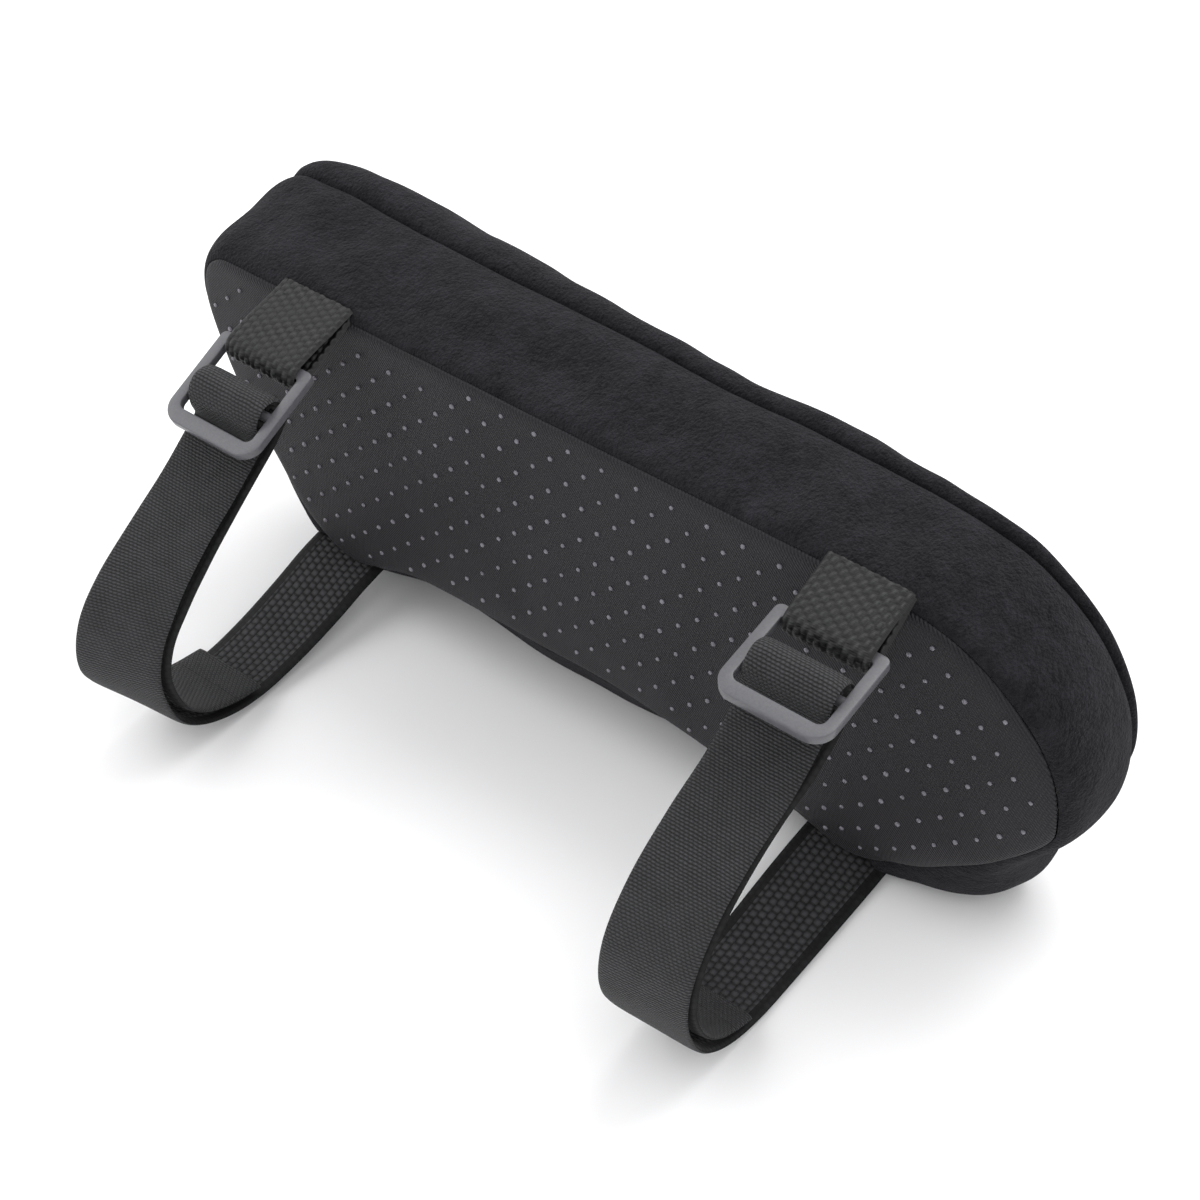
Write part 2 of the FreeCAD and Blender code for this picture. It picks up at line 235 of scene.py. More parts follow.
def make_velour():
    """Dark pile: colour mottled by tufts, clumps and patches of noise, bump from the tufts and clumps."""
    material, node, shader = new_material("black_velour", Roughness=0.95, Sheen_Weight=0.12,
                                          Sheen_Roughness=0.5, Specular_IOR_Level=0.1)
    shader.inputs["Sheen Tint"].default_value = linear("#8c8b92")
    where = node("TexCoord").outputs["Object"]
    patches = node("TexNoise", Vector=where, Scale=1000 / PATCH_SIZE, Detail=6.0, Roughness=0.68)
    # The pile leans one way, so its grain is longer across the band than along it.
    lean = node("Mapping", Vector=where, Rotation=(0.3, 0.5, 0.2), Scale=(1.0, 0.72, 1.0))
    tufts = node("TexNoise", Vector=lean, Scale=1000 / PILE_SIZE, Detail=3.0, Roughness=0.7)
    clumps = node("TexNoise", Vector=lean, Scale=1000 / CLUMP_SIZE, Detail=3.0, Roughness=0.65)
    shade = node("MULTIPLY", patches, 0.72)
    shade = node("MULTIPLY_ADD", tufts, 0.40, shade)
    shade = node("MULTIPLY_ADD", clumps, 0.35, shade)
    height = node("MULTIPLY_ADD", clumps, 1.6, tufts)
    finish(node, shader, shade, (0.46, "#040405"), (0.96, "#28272b"), height, 1.0, 0.8)
    return material


velour = make_velour()

# %% [markdown]
# The base cloth is a fine polyester twill: filament yarns with a slight gloss, in diagonal lines about half
# a millimetre apart. The lines run along one diagonal of the dot lattice, so the pattern is worked out from
# object coordinates in the plane of the panel.

# %% Black twill
TWILL_PITCH, FLOAT_LENGTH, FLOAT_SHIFT = 0.62, 1.1, 0.37
TWILL_HEADING = math.radians(-46.9)


def hills(node, value):
    """A rounded hill for each whole step of a value: the sine of pi times its fraction."""
    return node("SINE", node("MULTIPLY", node("FRACT", value), math.pi))


def make_twill():
    """Diagonal ribs TWILL_PITCH mm apart, broken into floats that shift a little from rib to rib."""
    material, node, shader = new_material("black_twill", Roughness=0.62, Sheen_Weight=0.04,
                                          Sheen_Roughness=0.4, Specular_IOR_Level=0.28)
    where = node("TexCoord").outputs["Object"]
    place = node("SeparateXYZ", where)
    x, z = place.outputs["X"], place.outputs["Z"]
    c, s = math.cos(TWILL_HEADING) / MM, math.sin(TWILL_HEADING) / MM
    across = node("MULTIPLY_ADD", x, -s, node("MULTIPLY", z, c))
    along = node("MULTIPLY_ADD", x, c, node("MULTIPLY", z, s))
    line = node("DIVIDE", across, TWILL_PITCH)
    beat = node("MULTIPLY_ADD", node("FLOOR", line), FLOAT_SHIFT,
               node("DIVIDE", along, FLOAT_LENGTH))
    floats = node("MULTIPLY_ADD", hills(node, beat), 0.45, 0.55)
    height = node("MULTIPLY", hills(node, line), floats)
    cloudy = node("TexNoise", Vector=where, Scale=60.0, Detail=5.0)
    shade = node("MULTIPLY_ADD", height, 0.55, node("MULTIPLY", cloudy, 0.35))
    finish(node, shader, shade, (0.1, "#08070a"), (0.85, "#1d1b21"), height, 0.9, 0.25)
    return material


twill = make_twill()

# %% [markdown]
# The elastic is woven rubber thread covered with polyester. Its outer face shows fine broken cross ribs;
# its inner face shows columns of small beads between two plain selvedges. The tab is coarser polypropylene
# webbing. Both read an attribute that every strap and tab carries: millimetres across, millimetres along,
# and which face it is, so the weave follows the band round its bends.

# %% Elastic and webbing
RIB_PITCH, RIB_BREAK = 0.66, 1.05
BEAD_PITCH, BEAD_LONG = 1.7, 2.0
SELVEDGE_PLACE = 7.6
FILAMENT_PITCH, FILAMENT_LONG = 0.36, 2.0


def weave_place(node):
    """The strap's own coordinates: across and along in mm, and the face, 1 outside and -1 inside."""
    own = node("Attribute", settings={"attribute_name": "weave"}).outputs["Vector"]
    return node("SeparateXYZ", own).outputs


def bead_height(node, across, along, wide, long, drift):
    """Rows of rounded beads: sine hills wide by long mm, each column shifted by drift of a bead."""
    column = node("DIVIDE", across, wide)
    row = node("MULTIPLY_ADD", node("FLOOR", column), drift,
              node("DIVIDE", along, long))
    return node("MULTIPLY", hills(node, column), hills(node, row))


def make_elastic():
    """Outer face: cross ribs RIB_PITCH mm apart, broken every RIB_BREAK mm. Inner face: rows of beads."""
    material, node, shader = new_material("black_elastic", Roughness=0.7, Sheen_Weight=0.05,
                                          Sheen_Roughness=0.4, Specular_IOR_Level=0.3)
    where = node("TexCoord").outputs["Object"]
    across, along, face = weave_place(node)
    stray = node("TexNoise", Vector=where, Scale=420.0, Detail=2.0)
    along = node("MULTIPLY_ADD", stray, 0.5, along)
    whole = hills(node, node("DIVIDE", along, RIB_PITCH))
    ribs = bead_height(node, along, across, RIB_PITCH, RIB_BREAK, 0.38)
    ribs = node("MULTIPLY_ADD", ribs, 0.55, node("MULTIPLY", whole, 0.45))
    beads = node("POWER", bead_height(node, across, along, BEAD_PITCH, BEAD_LONG, 0.5), 0.55)
    edge = node("GREATER_THAN", node("ABSOLUTE", across), SELVEDGE_PLACE)
    beads = node("MULTIPLY", beads, node("MULTIPLY_ADD", edge, -0.8, 1.0))
    # The face is 1 or -1, so this picks the ribs outside and the beads inside.
    outside = node("GREATER_THAN", face, 0.0)
    weave = node("MULTIPLY_ADD", outside, node("SUBTRACT", ribs, beads), beads)
    worn = node("TexNoise", Vector=where, Scale=220.0, Detail=4.0)
    shade = node("MULTIPLY_ADD", weave, 0.62, node("MULTIPLY", worn, 0.3))
    finish(node, shader, shade, (0.22, "#09090a"), (0.85, "#3f3f42"), weave, 1.0, 0.4)
    return material


def make_webbing():
    """Coarse webbing of real relief knots: painted shade in the gaps, painted highlight on the tops,
    filaments.
    """
    material, node, shader = new_material("black_webbing", Roughness=0.5, Specular_IOR_Level=0.4,
                                          Sheen_Weight=0.02, Sheen_Roughness=0.4)
    across, along, _ = weave_place(node)
    lines = bead_height(node, along, across, FILAMENT_PITCH, FILAMENT_LONG, 0.3)
    # Painted shade and highlight: the knots' own height darkens the gaps between them and lightens their
    # tops.
    knots = node("Attribute", settings={"attribute_name": "relief"}).outputs["Vector"]
    high = node("POWER", node("SeparateXYZ", knots), 2.2)
    shade = node("MULTIPLY_ADD", lines, 0.25, node("MULTIPLY", high, 0.75))
    finish(node, shader, shade, (0.12, "#020202"), (0.95, "#222324"), lines, 0.5, 0.15)
    return material


elastic = make_elastic()
webbing = make_webbing()

# %% [markdown]
# The buckles are acetal, moulded: a tough, slightly waxy grey plastic whose fine mould grain breaks up the
# gloss. The dots are printed silicone, glossier. The zip has nylon coils and painted zinc parts.

# %% Moulded plastic, silicone, foam, tape and painted metal


def make_plain(name, dark, light, grain, depth, **sockets):
    """An even finish: two close shades mixed by noise of one grain size, which is a bump depth mm high."""
    material, node, shader = new_material(name, **sockets)
    where = node("TexCoord").outputs["Object"]
    noise = node("TexNoise", Vector=where, Scale=1000 / grain, Detail=4.0, Roughness=0.6)
    finish(node, shader, noise, (0.3, dark), (0.7, light), noise, 0.5, depth)
    return material


acetal = make_plain("grey_acetal", "#4e4e52", "#58585c", 0.5, 0.02, Roughness=0.36, IOR=1.48)
silicone = make_plain("grey_silicone", "#5b5960", "#77757d", 1.0, 0.01, Roughness=0.14, IOR=1.45)
foam_skin = make_plain("memory_foam", "#b9b4a4", "#e4dfd0", 1.2, 0.4, Roughness=0.9)
tape_cloth = make_plain("black_tape", "#101011", "#242426", 0.8, 0.15, Roughness=0.85)
nylon = make_plain("black_nylon", "#141415", "#232325", 0.5, 0.03, Roughness=0.4, IOR=1.53)
painted = make_plain("painted_zinc", "#141414", "#1d1d1e", 0.8, 0.02, Roughness=0.3, Coat_Weight=0.5)
print("materials:", len(bpy.data.materials))

# %% [markdown]
# ## The cover's two seams
# The cover is a base panel, a side band and a contact panel, joined by two seams that run all the way
# round. Everything else follows from those two closed lines, so they come first: matching points on both,
# joined by one smooth closed curve each.

# %% Seam lines
BASE_FACE = 12.5
BASE_CURL, BASE_CURL_FROM, BASE_CURL_OVER = 3.5, 30.0, 20.0
END_DROP, END_DROP_FROM, END_DROP_OVER = 0.8, 96.0, 18.0
SEAM_POINTS = np.array([
    # base seam x, z;  contact seam x, z
    (-100.0, 87.7, -103.0, 89.0), (-60.0, 87.7, -60.0, 88.4), (0.0, 87.7, 0.0, 87.9),
    (50.0, 87.7, 50.0, 87.3), (76.0, 86.0, 76.0, 84.8), (90.0, 81.2, 90.0, 79.4),
    (101.0, 72.6, 101.0, 70.6), (108.5, 62.0, 107.5, 60.0), (111.6, 50.0, 109.4, 48.0),
    (110.6, 42.5, 107.8, 36.5), (101.5, 31.0, 103.5, 23.0), (92.0, 22.0, 96.5, 11.5),
    (80.0, 11.5, 83.5, 4.0), (66.0, 4.6, 66.0, 3.0), (48.0, 9.0, 45.0, 3.0),
    (15.0, 17.4, 15.0, 4.0), (-20.0, 19.0, -20.0, 4.5), (-52.0, 18.6, -52.0, 4.0),
    (-66.0, 13.5, -66.0, 3.5), (-77.0, 10.0, -78.0, 5.0), (-86.0, 18.5, -89.0, 13.0),
    (-96.0, 34.0, -100.0, 27.0), (-106.0, 50.0, -109.5, 45.0), (-112.0, 64.0, -114.6, 61.0),
    (-114.4, 76.0, -117.4, 76.0), (-111.2, 85.0, -115.0, 86.6)])
SEAM_STEPS = 720
BAND_STEPS = 44


def closed_curve(points, steps):
    """A smooth closed line through points: periodic cubic pieces with Catmull-Rom slopes, evenly spaced."""
    count = len(points)
    t = np.arange(steps * 4) / (steps * 4) * count
    i, f = t.astype(int), (t % 1)[:, None]
    p0, p1, p2, p3 = (points[(i + k) % count] for k in (-1, 0, 1, 2))
    line = 0.5 * (2 * p1 + (p2 - p0) * f + (2 * p0 - 5 * p1 + 4 * p2 - p3) * f ** 2
                  + (3 * p1 - p0 - 3 * p2 + p3) * f ** 3)
    return spread(np.vstack([line, line[:1]]), steps, endpoint=False)


def base_drop(x, z):
    """How far the base panel curls back, mm: a square's growth towards the table, a step at both ends."""
    curl = BASE_CURL * np.clip((BASE_CURL_FROM - z) / BASE_CURL_OVER, 0, 1) ** 2
    return curl + END_DROP * smooth_step((np.abs(x) - END_DROP_FROM) / END_DROP_OVER)


def contact_height(x):
    """Y of the contact face's crown along the pad: highest over the heel, then falling to the nose."""
    places = [-120, -108, -95, -80, -64, -48, -33, -18, 0, 22, 47, 60, 75, 90, 118]
    heights = [60.4, 61.2, 62.2, 63.8, 64.2, 62.7, 61.0, 59.6, 57.6, 56.0, 55.4, 54.0, 51.2, 49.2, 47.2]
    return np.interp(x, places, heights)


both = closed_curve(SEAM_POINTS, SEAM_STEPS)
seam_x, seam_z = both[:, 0], both[:, 1]
base_seam = np.stack([seam_x, BASE_FACE + 0.9 + base_drop(seam_x, seam_z), seam_z], 1)
# The contact seam nears the base towards the nose, and stands off by SEAM_STAND mm near the table.
SEAM_STAND = 2.0
contact_seam_y = np.interp(both[:, 2], [-118, -95, -75, -40, 0, 50, 90, 116],
                           [47.6, 46.5, 45.4, 44.6, 43.8, 43.4, 42.6, 41.6])
contact_seam_y += SEAM_STAND * smooth_step((60 - both[:, 3]) / 40)
contact_seam = np.stack([both[:, 2], contact_seam_y, both[:, 3]], 1)
around = distance_along(np.vstack([base_seam, base_seam[:1]]))[-1]
print("base seam length mm:", round(float(around), 1))

# %% [markdown]
# ## Surfaces of the cover
# The band is a ruled strip between the seams, pushed outwards by a rounded profile, and it lies flat on the
# table underneath. The panels are fans from a seam to a line down the middle of the pad: the base nearly
# flat, the contact panel crowned, with a rounded shoulder beside its seam.

# %% Band and panels as functions
SPINE_HALF, SPINE_Z = 68.0, 46.0
SHOULDER, SHOULDER_WIDE, PILLOW = 2.0, 12.0, 0.8
BAND_FULL, NOSE_FULL, LOW_FULL, HEEL_LESS = 2.4, 1.6, 8.5, 0.3
FLOOR_GAP, FLOOR_SOFT = 0.45, 0.9


def outward(line):
    """Unit normals of a closed line in the XZ plane, pointing away from its middle."""
    run = np.roll(line, -1, 0) - np.roll(line, 1, 0)
    normal = unit(np.stack([-run[:, 2], np.zeros(len(line)), run[:, 0]], 1))
    return normal * np.sign(((line - line.mean(0)) * normal).sum())


contact_seam += outward(contact_seam) * (1.7 * smooth_step((contact_seam[:, 2:] - 6) / 20))


def band_surface(t, inset=0.0):
    """Points at shares t from the base seam to the contact seam: a straight line plus a swelling along the
    outline's normal, (1 - |2t - 1|^3)^0.7 of its fullness. A height z becomes gap + s log(1 + exp((z - gap)
    / s)), so nothing sinks below the gap over the table.

    The band is fullest where it faces the table. There, but not under the nose, the swelling grows from the
    base seam by no more than 28 mm per whole width, because the base's lower edge is drawn in.
    """
    n = outward((base_seam + contact_seam) / 2)
    x, _, z = ((base_seam + contact_seam) / 2).T
    low = smooth_step((30 - z) / 18)
    full = BAND_FULL + NOSE_FULL * smooth_step((x - 85) / 25) * smooth_step((z - 30) / 30)
    full += LOW_FULL * low * smooth_step((-n[:, 2] - 0.3) / 0.5)
    full -= HEEL_LESS * smooth_step((-x - 96) / 10) * (1 - low)
    t = np.asarray(t)[None, :, None]
    line = base_seam[:, None] * (1 - t) + contact_seam[:, None] * t
    swell = full[:, None, None] * (1 - np.abs(2 * t - 1) ** 3) ** 0.7
    free = np.maximum(1 - low, smooth_step((x - 70) / 14))
    limit = 28.0 * t + 400 * free[:, None, None] * t ** 0.5
    points = line + n[:, None] * (np.minimum(swell, limit) - inset)
    gap = FLOOR_GAP + inset
    points[..., 2] = gap + FLOOR_SOFT * np.logaddexp(0, (points[..., 2] - gap) / FLOOR_SOFT)
    return points


def fan(seam, rings):
    """Points from a seam inwards to the spine, ring by ring, with each point's distance from the seam."""
    foot = np.stack([np.round(np.clip(seam[:, 0], -SPINE_HALF, SPINE_HALF)), seam[:, 1],
                     np.full(len(seam), SPINE_Z)], 1)
    rings = np.asarray(rings)[None, :, None]
    points = seam[:, None] * (1 - rings) + foot[:, None] * rings
    return points, np.linalg.norm(seam - foot, axis=1)[:, None] * rings[..., 0]


def base_surface(rings, inset=0.0):
    """The base panel: flat with the lower edge curled back, and a quarter circle's roll into the seam."""
    points, gone = fan(base_seam, rings)
    roll = 1 - np.sqrt(1 - np.clip(1 - gone / 4.0, 0, 1) ** 2)
    points[..., 1] = BASE_FACE + base_drop(points[..., 0], points[..., 2]) + roll + inset
    return points


def contact_surface(rings, inset=0.0):
    """The contact panel: up from the seam along a rounded shoulder that bulges outwards, then the crown.

    With q the share of the shoulder's width still to go, the height is h = (1 - q^2.4)^0.5 of the rise, and
    the bulge past the seam line is SHOULDER times 4 h (1 - h) q^0.25, fading to none at the table.
    """
    points, gone = fan(contact_seam, rings)
    foot = contact_seam[:, None, 1]
    rise = contact_height(points[..., 0]) - foot - PILLOW
    q = 1 - np.clip(gone / SHOULDER_WIDE, 0, 1)
    share = (1 - q ** 2.4) ** 0.5
    points[..., 1] = foot + rise * share + PILLOW * smooth_step(gone / 42) - inset
    above_table = smooth_step((points[..., 2:] - 6) / 14)
    out = SHOULDER * 4 * share * (1 - share) * q ** 0.25
    return points + outward(contact_seam)[:, None] * out[..., None] * above_table


edge_rings = np.linspace(0, 1, 48) ** 1.6
band_shares = 0.5 - 0.5 * np.cos(np.linspace(0, np.pi, BAND_STEPS))
band = band_surface(band_shares)
base = base_surface(edge_rings)
contact = contact_surface(edge_rings)
print("band x, z from", band[..., 0].min().round(1), band[..., 2].min().round(1),
      "to", band[..., 0].max().round(1), band[..., 2].max().round(1))

# %% [markdown]
# ## Letting the cover swell like cloth
# A sewn cover is never as even as a formula: it puffs out between its seams and buckles a little. A
# coarse closed copy of the whole cover is remeshed, held along the seams and blown up by Blender's cloth
# solver with slightly too much cloth. How far each place moved, smoothed and capped, is then added to the
# fine panels, so the seams stay sharp where the coarse copy had lost them.

# %% Cloth simulation of the whole cover
VOXEL, HELD_WITHIN = 4.5, 3.2
CLOTH_PRESSURE, SPARE_CLOTH, CLOTH_FRAMES = 4.0, 0.03, 20
CLOTH_CAP, CLOTH_REACH = 2.2, 3.5
FOLD_HIGH, FOLD_LONG = 0.22, 26.0
PAD_MIDDLE = np.array([0.0, 34.0, 46.0])


def cover_proxy():
    """A closed coarse mesh of the cover: every fourth seam point, base fan, band and contact fan."""
    pick = slice(None, None, 4)
    rings = np.linspace(0, 1, 12)
    strips = (base_surface(rings[::-1]), band_surface(rings[1:-1]), contact_surface(rings))
    points = np.concatenate([strip[pick] for strip in strips], 1)
    piece = make_piece("proxy", points, grid_faces(*points.shape[:2], close_rows=True), velour)
    clean_up(piece, merge=True)
    return piece


def near_mean(points, sources, values, reach):
    """Values of the sources spread to points: the mean weighted by exp(-distance^2 / 2 reach^2)."""
    out = np.zeros((len(points), values.shape[1]), np.float32)
    sources = sources.astype(np.float32)
    own = (sources ** 2).sum(1)
    for start in range(0, len(points), 4000):
        part = points[start:start + 4000].astype(np.float32)
        square = (part ** 2).sum(1)[:, None] + own[None] - 2 * part @ sources.T
        weight = np.exp(-np.maximum(square - square.min(1)[:, None], 0) / (2 * reach ** 2))
        out[start:start + 4000] = weight @ values / weight.sum(1)[:, None]
    return out


def run_cloth(piece):
    """Remeshes, pins the seams, runs the cloth under pressure; returns the rest points and their moves."""
    context = bpy.context
    context.view_layer.objects.active = piece
    remesh = piece.modifiers.new("remesh", "REMESH")
    remesh.mode, remesh.voxel_size = "VOXEL", VOXEL * MM
    graph = context.evaluated_depsgraph_get()
    piece.data = bpy.data.meshes.new_from_object(piece.evaluated_get(graph))
    piece.modifiers.clear()
    count = len(piece.data.vertices)
    rest = np.zeros(count * 3)
    piece.data.vertices.foreach_get("co", rest)
    rest = rest.reshape(-1, 3) / MM
    seams = np.vstack([base_seam, contact_seam])[::2]
    apart = np.sqrt(((rest[:, None] - seams[None]) ** 2).sum(2)).min(1)
    pinned = piece.vertex_groups.new(name="pinned")
    pinned.add(np.nonzero(apart < HELD_WITHIN)[0].tolist(), 1.0, "REPLACE")
    cloth = piece.modifiers.new("cloth", "CLOTH")
    how = cloth.settings
    how.quality, how.mass, how.tension_stiffness, how.bending_stiffness = 6, 0.25, 12, 0.4
    how.use_pressure, how.uniform_pressure_force, how.shrink_min = True, CLOTH_PRESSURE, -SPARE_CLOTH
    how.vertex_group_mass, how.effector_weights.gravity = "pinned", 0
    cloth.point_cache.frame_start, cloth.point_cache.frame_end = 1, CLOTH_FRAMES
    for step in range(1, CLOTH_FRAMES + 1):
        context.scene.frame_set(step)
    graph = context.evaluated_depsgraph_get()
    done = piece.evaluated_get(graph).to_mesh()
    moved = np.zeros(count * 3)
    done.vertices.foreach_get("co", moved)
    context.scene.frame_set(1)
    return rest, moved.reshape(-1, 3) / MM - rest


def simulate_cover():
    piece = cover_proxy()
    rest, moved = run_cloth(piece)
    bpy.data.objects.remove(piece)
    size = np.linalg.norm(moved, axis=1)
    moved *= (CLOTH_CAP * np.tanh(size / CLOTH_CAP) / np.maximum(size, 1e-9))[:, None]
    print("cloth points", len(rest), "moved mm, mean and most:", size.mean().round(2), size.max().round(2))
    return rest, moved


swelling = simulate_cover()


def puff(points, share=1.0):
    """Adds a share of the cloth's moves to points, and faint soft folds, but keeps them above the table."""
    flat = points.reshape(-1, 3).copy()
    if swelling is not None:
        flat += share * near_mean(flat, *swelling, CLOTH_REACH)
    flat += FOLD_HIGH * share * ripple(flat, FOLD_LONG, 5)[:, None] * (flat - PAD_MIDDLE) / 60
    flat[:, 2] = np.maximum(flat[:, 2], FLOOR_GAP / 2)
    return flat.reshape(points.shape)


# %% [markdown]
# ## The cover's pieces
# The zip lies in the side that the pad rests on. There the band is two strips, each with an edge turned
# up to the zip's tape; elsewhere it is one piece. Each panel is one grid of points with a thickness put
# inside it by Solidify.

# %% Panels, band and zip strips
COVER_THICKNESS = 1.3
ZIP_HALF, ZIP_Y, ZIP_REACH = 63.2, 32.5, 5.0
ZIP_LIP_TOP, ZIP_LIP_IN = 4.9, 0.5


def seam_tuck(points, near_last, depth, reach):
    """Pulls cloth in beside its first seam, and its last if asked: depth times exp(-distance / reach)."""
    steps = np.linalg.norm(np.diff(points, axis=1), axis=2)
    gone = np.concatenate([np.zeros((len(points), 1)), np.cumsum(steps, 1)], 1)
    pull = np.exp(-gone / reach)
    if near_last:
        pull += np.exp(-(gone[:, -1:] - gone) / reach)
    inward = np.array([0, 33.0, 46.0]) - points * (0, 1, 1)
    inward[..., 0] = -np.sign(points[..., 0]) * np.maximum(np.abs(points[..., 0]) - SPINE_HALF, 0)
    return points + unit(inward) * (depth * pull)[..., None]


def sheet_piece(name, points, material, closed):
    """A panel from a grid of points, its faces turned away from the pad's middle, with a wall inside it."""
    faces = grid_faces(*points.shape[:2], close_rows=closed)
    corners = points.reshape(-1, 3)[faces]
    facing = np.cross(corners[:, 2] - corners[:, 0], corners[:, 3] - corners[:, 1])
    if (facing * (corners.mean(1) - PAD_MIDDLE)).sum() < 0:
        faces = faces[:, ::-1]
    piece = make_piece(name, points, faces, material)
    wall = piece.modifiers.new("wall", "SOLIDIFY")
    wall.thickness, wall.offset, wall.use_even_offset = COVER_THICKNESS * MM, -1.0, False
    return piece


def zip_edge(strip, side):
    """One strip beside the zip: the band up to the slot's edge, evenly spaced in Y, then a lip turned up to
    the tape. At a share s of the lip it is back from the edge by s^0.5 and up by s^1.3 of the lip."""
    edge_y = ZIP_Y + side * ZIP_REACH
    kept = strip if side < 0 else strip[:, ::-1]
    start = kept[:, :1, 1]
    even = start + (edge_y - start) * np.linspace(0, 1, 26)
    rows = []
    for line, y in zip(kept, even):
        line = line[np.argsort(line[:, 1])]
        rows.append([np.interp(y, line[:, 1], line[:, 0]), y, np.interp(y, line[:, 1], line[:, 2])])
    flat = np.array(rows).transpose(0, 2, 1)
    lip = np.linspace(0, 1, 7)[None, 1:]
    x, z = flat[:, -1:, 0], flat[:, -1:, 2]
    turn = np.stack(np.broadcast_arrays(x, edge_y - side * ZIP_LIP_IN * lip ** 0.5,
                                        z + (ZIP_LIP_TOP - z) * lip ** 1.3), 2)
    return np.concatenate([flat, turn], 1)


band_full = seam_tuck(puff(band), True, 0.9, 1.3)
base_full = seam_tuck(puff(base, 0.35), False, 1.0, 1.0)
contact_full = seam_tuck(puff(contact), False, 0.9, 1.3)

# The seam points over the zip come first in this order; the rest of the band shares its two end rows.
under = (np.abs(base_seam[:, 0]) < ZIP_HALF) & (base_seam[:, 2] < 30)
first, over_zip = int(np.nonzero(under & ~np.roll(under, 1))[0][0]), int(under.sum())
order = (np.arange(SEAM_STEPS) + first) % SEAM_STEPS
zip_band = band_full[order[:over_zip]]
rest_band = band_full[np.concatenate([order[over_zip - 1:], order[:1]])]

base_panel = sheet_piece("base_cover", base_full, twill, True)
contact_panel = sheet_piece("contact_cover", contact_full, velour, True)
side_band = sheet_piece("band_cover", rest_band, velour, False)
strip_low = sheet_piece("zip_strip_base", zip_edge(zip_band, -1), velour, False)
strip_high = sheet_piece("zip_strip_contact", zip_edge(zip_band, 1), velour, False)
# A fan's two halves meet along the spine, where their points coincide.
for piece in (base_panel, contact_panel):
    clean_up(piece, merge=True, outwards=False)
print("cover thickness mm:", COVER_THICKNESS, "points along the zip:", over_zip)

# %% [markdown]
# The foam inside has the same shape, a little smaller. It is moulded, so it is one closed surface.

# %% Foam core
FOAM_INSET, FOAM_FLOOR = 2.6, 6.2


def make_foam():
    """Base fan, band and contact fan, all moved in by FOAM_INSET mm, welded into one closed surface."""
    pick = slice(None, None, 3)
    rings = np.linspace(0, 1, 16)
    parts = (base_surface(rings[::-1], FOAM_INSET), band_surface(np.linspace(0, 1, 20)[1:-1], FOAM_INSET),
             contact_surface(rings, FOAM_INSET))
    points = np.concatenate([part[pick] for part in parts], 1)
    # The fans stay as wide as the seams, so the whole is drawn in along X and Z as well.
    points = PAD_MIDDLE + (points - PAD_MIDDLE) * (1 - FOAM_INSET / np.array([110.0, 1e9, 44.0]))
    # It ends above the zip.
    points[..., 2] = np.maximum(points[..., 2], FOAM_FLOOR)
    piece = make_piece("foam", points, grid_faces(*points.shape[:2], close_rows=True), foam_skin)
    clean_up(piece, merge=True)
    return piece


foam = make_foam()
print("foam points:", len(foam.data.vertices))

# %% [markdown]
# ## Grip dots
# Rows of silicone drops are printed through a screen on the base cloth. Each is a low dome. They form an
# even diagonal lattice, cut off near the seams. One mesh holds them all; each dome has three rings of
# eight points, which is enough for its highlight.

# %% Printed dots
DOT_START = np.array([-9.286, 56.684])
DOT_STEP_A = np.array([4.263, -4.550])
DOT_STEP_B = np.array([4.567, 4.287])
DOT_RADIUS, DOT_HEIGHT, DOT_MARGIN = 0.62, 0.48, 3.6
DOT_RINGS, DOT_SIDES = 3, 8


def inside_seam(spots):
    """Which (x, z) spots lie in the base seam: an odd number of seam edges to their right."""
    a, b = both[:, :2], np.roll(both[:, :2], -1, 0)
    x, z = spots[:, 0, None], spots[:, 1, None]
    crosses = (a[None, :, 1] > z) != (b[None, :, 1] > z)
    with np.errstate(divide="ignore", invalid="ignore"):
        at = a[None, :, 0] + (z - a[None, :, 1]) * ((b - a)[:, 0] / (b - a)[:, 1])[None]
    return (crosses & (x < at)).sum(1) % 2 == 1


def dot_spots():
    """Lattice points that lie in the base panel, at least DOT_MARGIN mm from its seam."""
    i, j = np.meshgrid(np.arange(-40, 41), np.arange(-40, 41))
    spots = DOT_START + i.reshape(-1, 1) * DOT_STEP_A + j.reshape(-1, 1) * DOT_STEP_B
    spots = spots[inside_seam(spots)]
    apart = np.sqrt(((spots[:, None] - both[None, :, :2]) ** 2).sum(2)).min(1)
    return spots[apart > DOT_MARGIN]


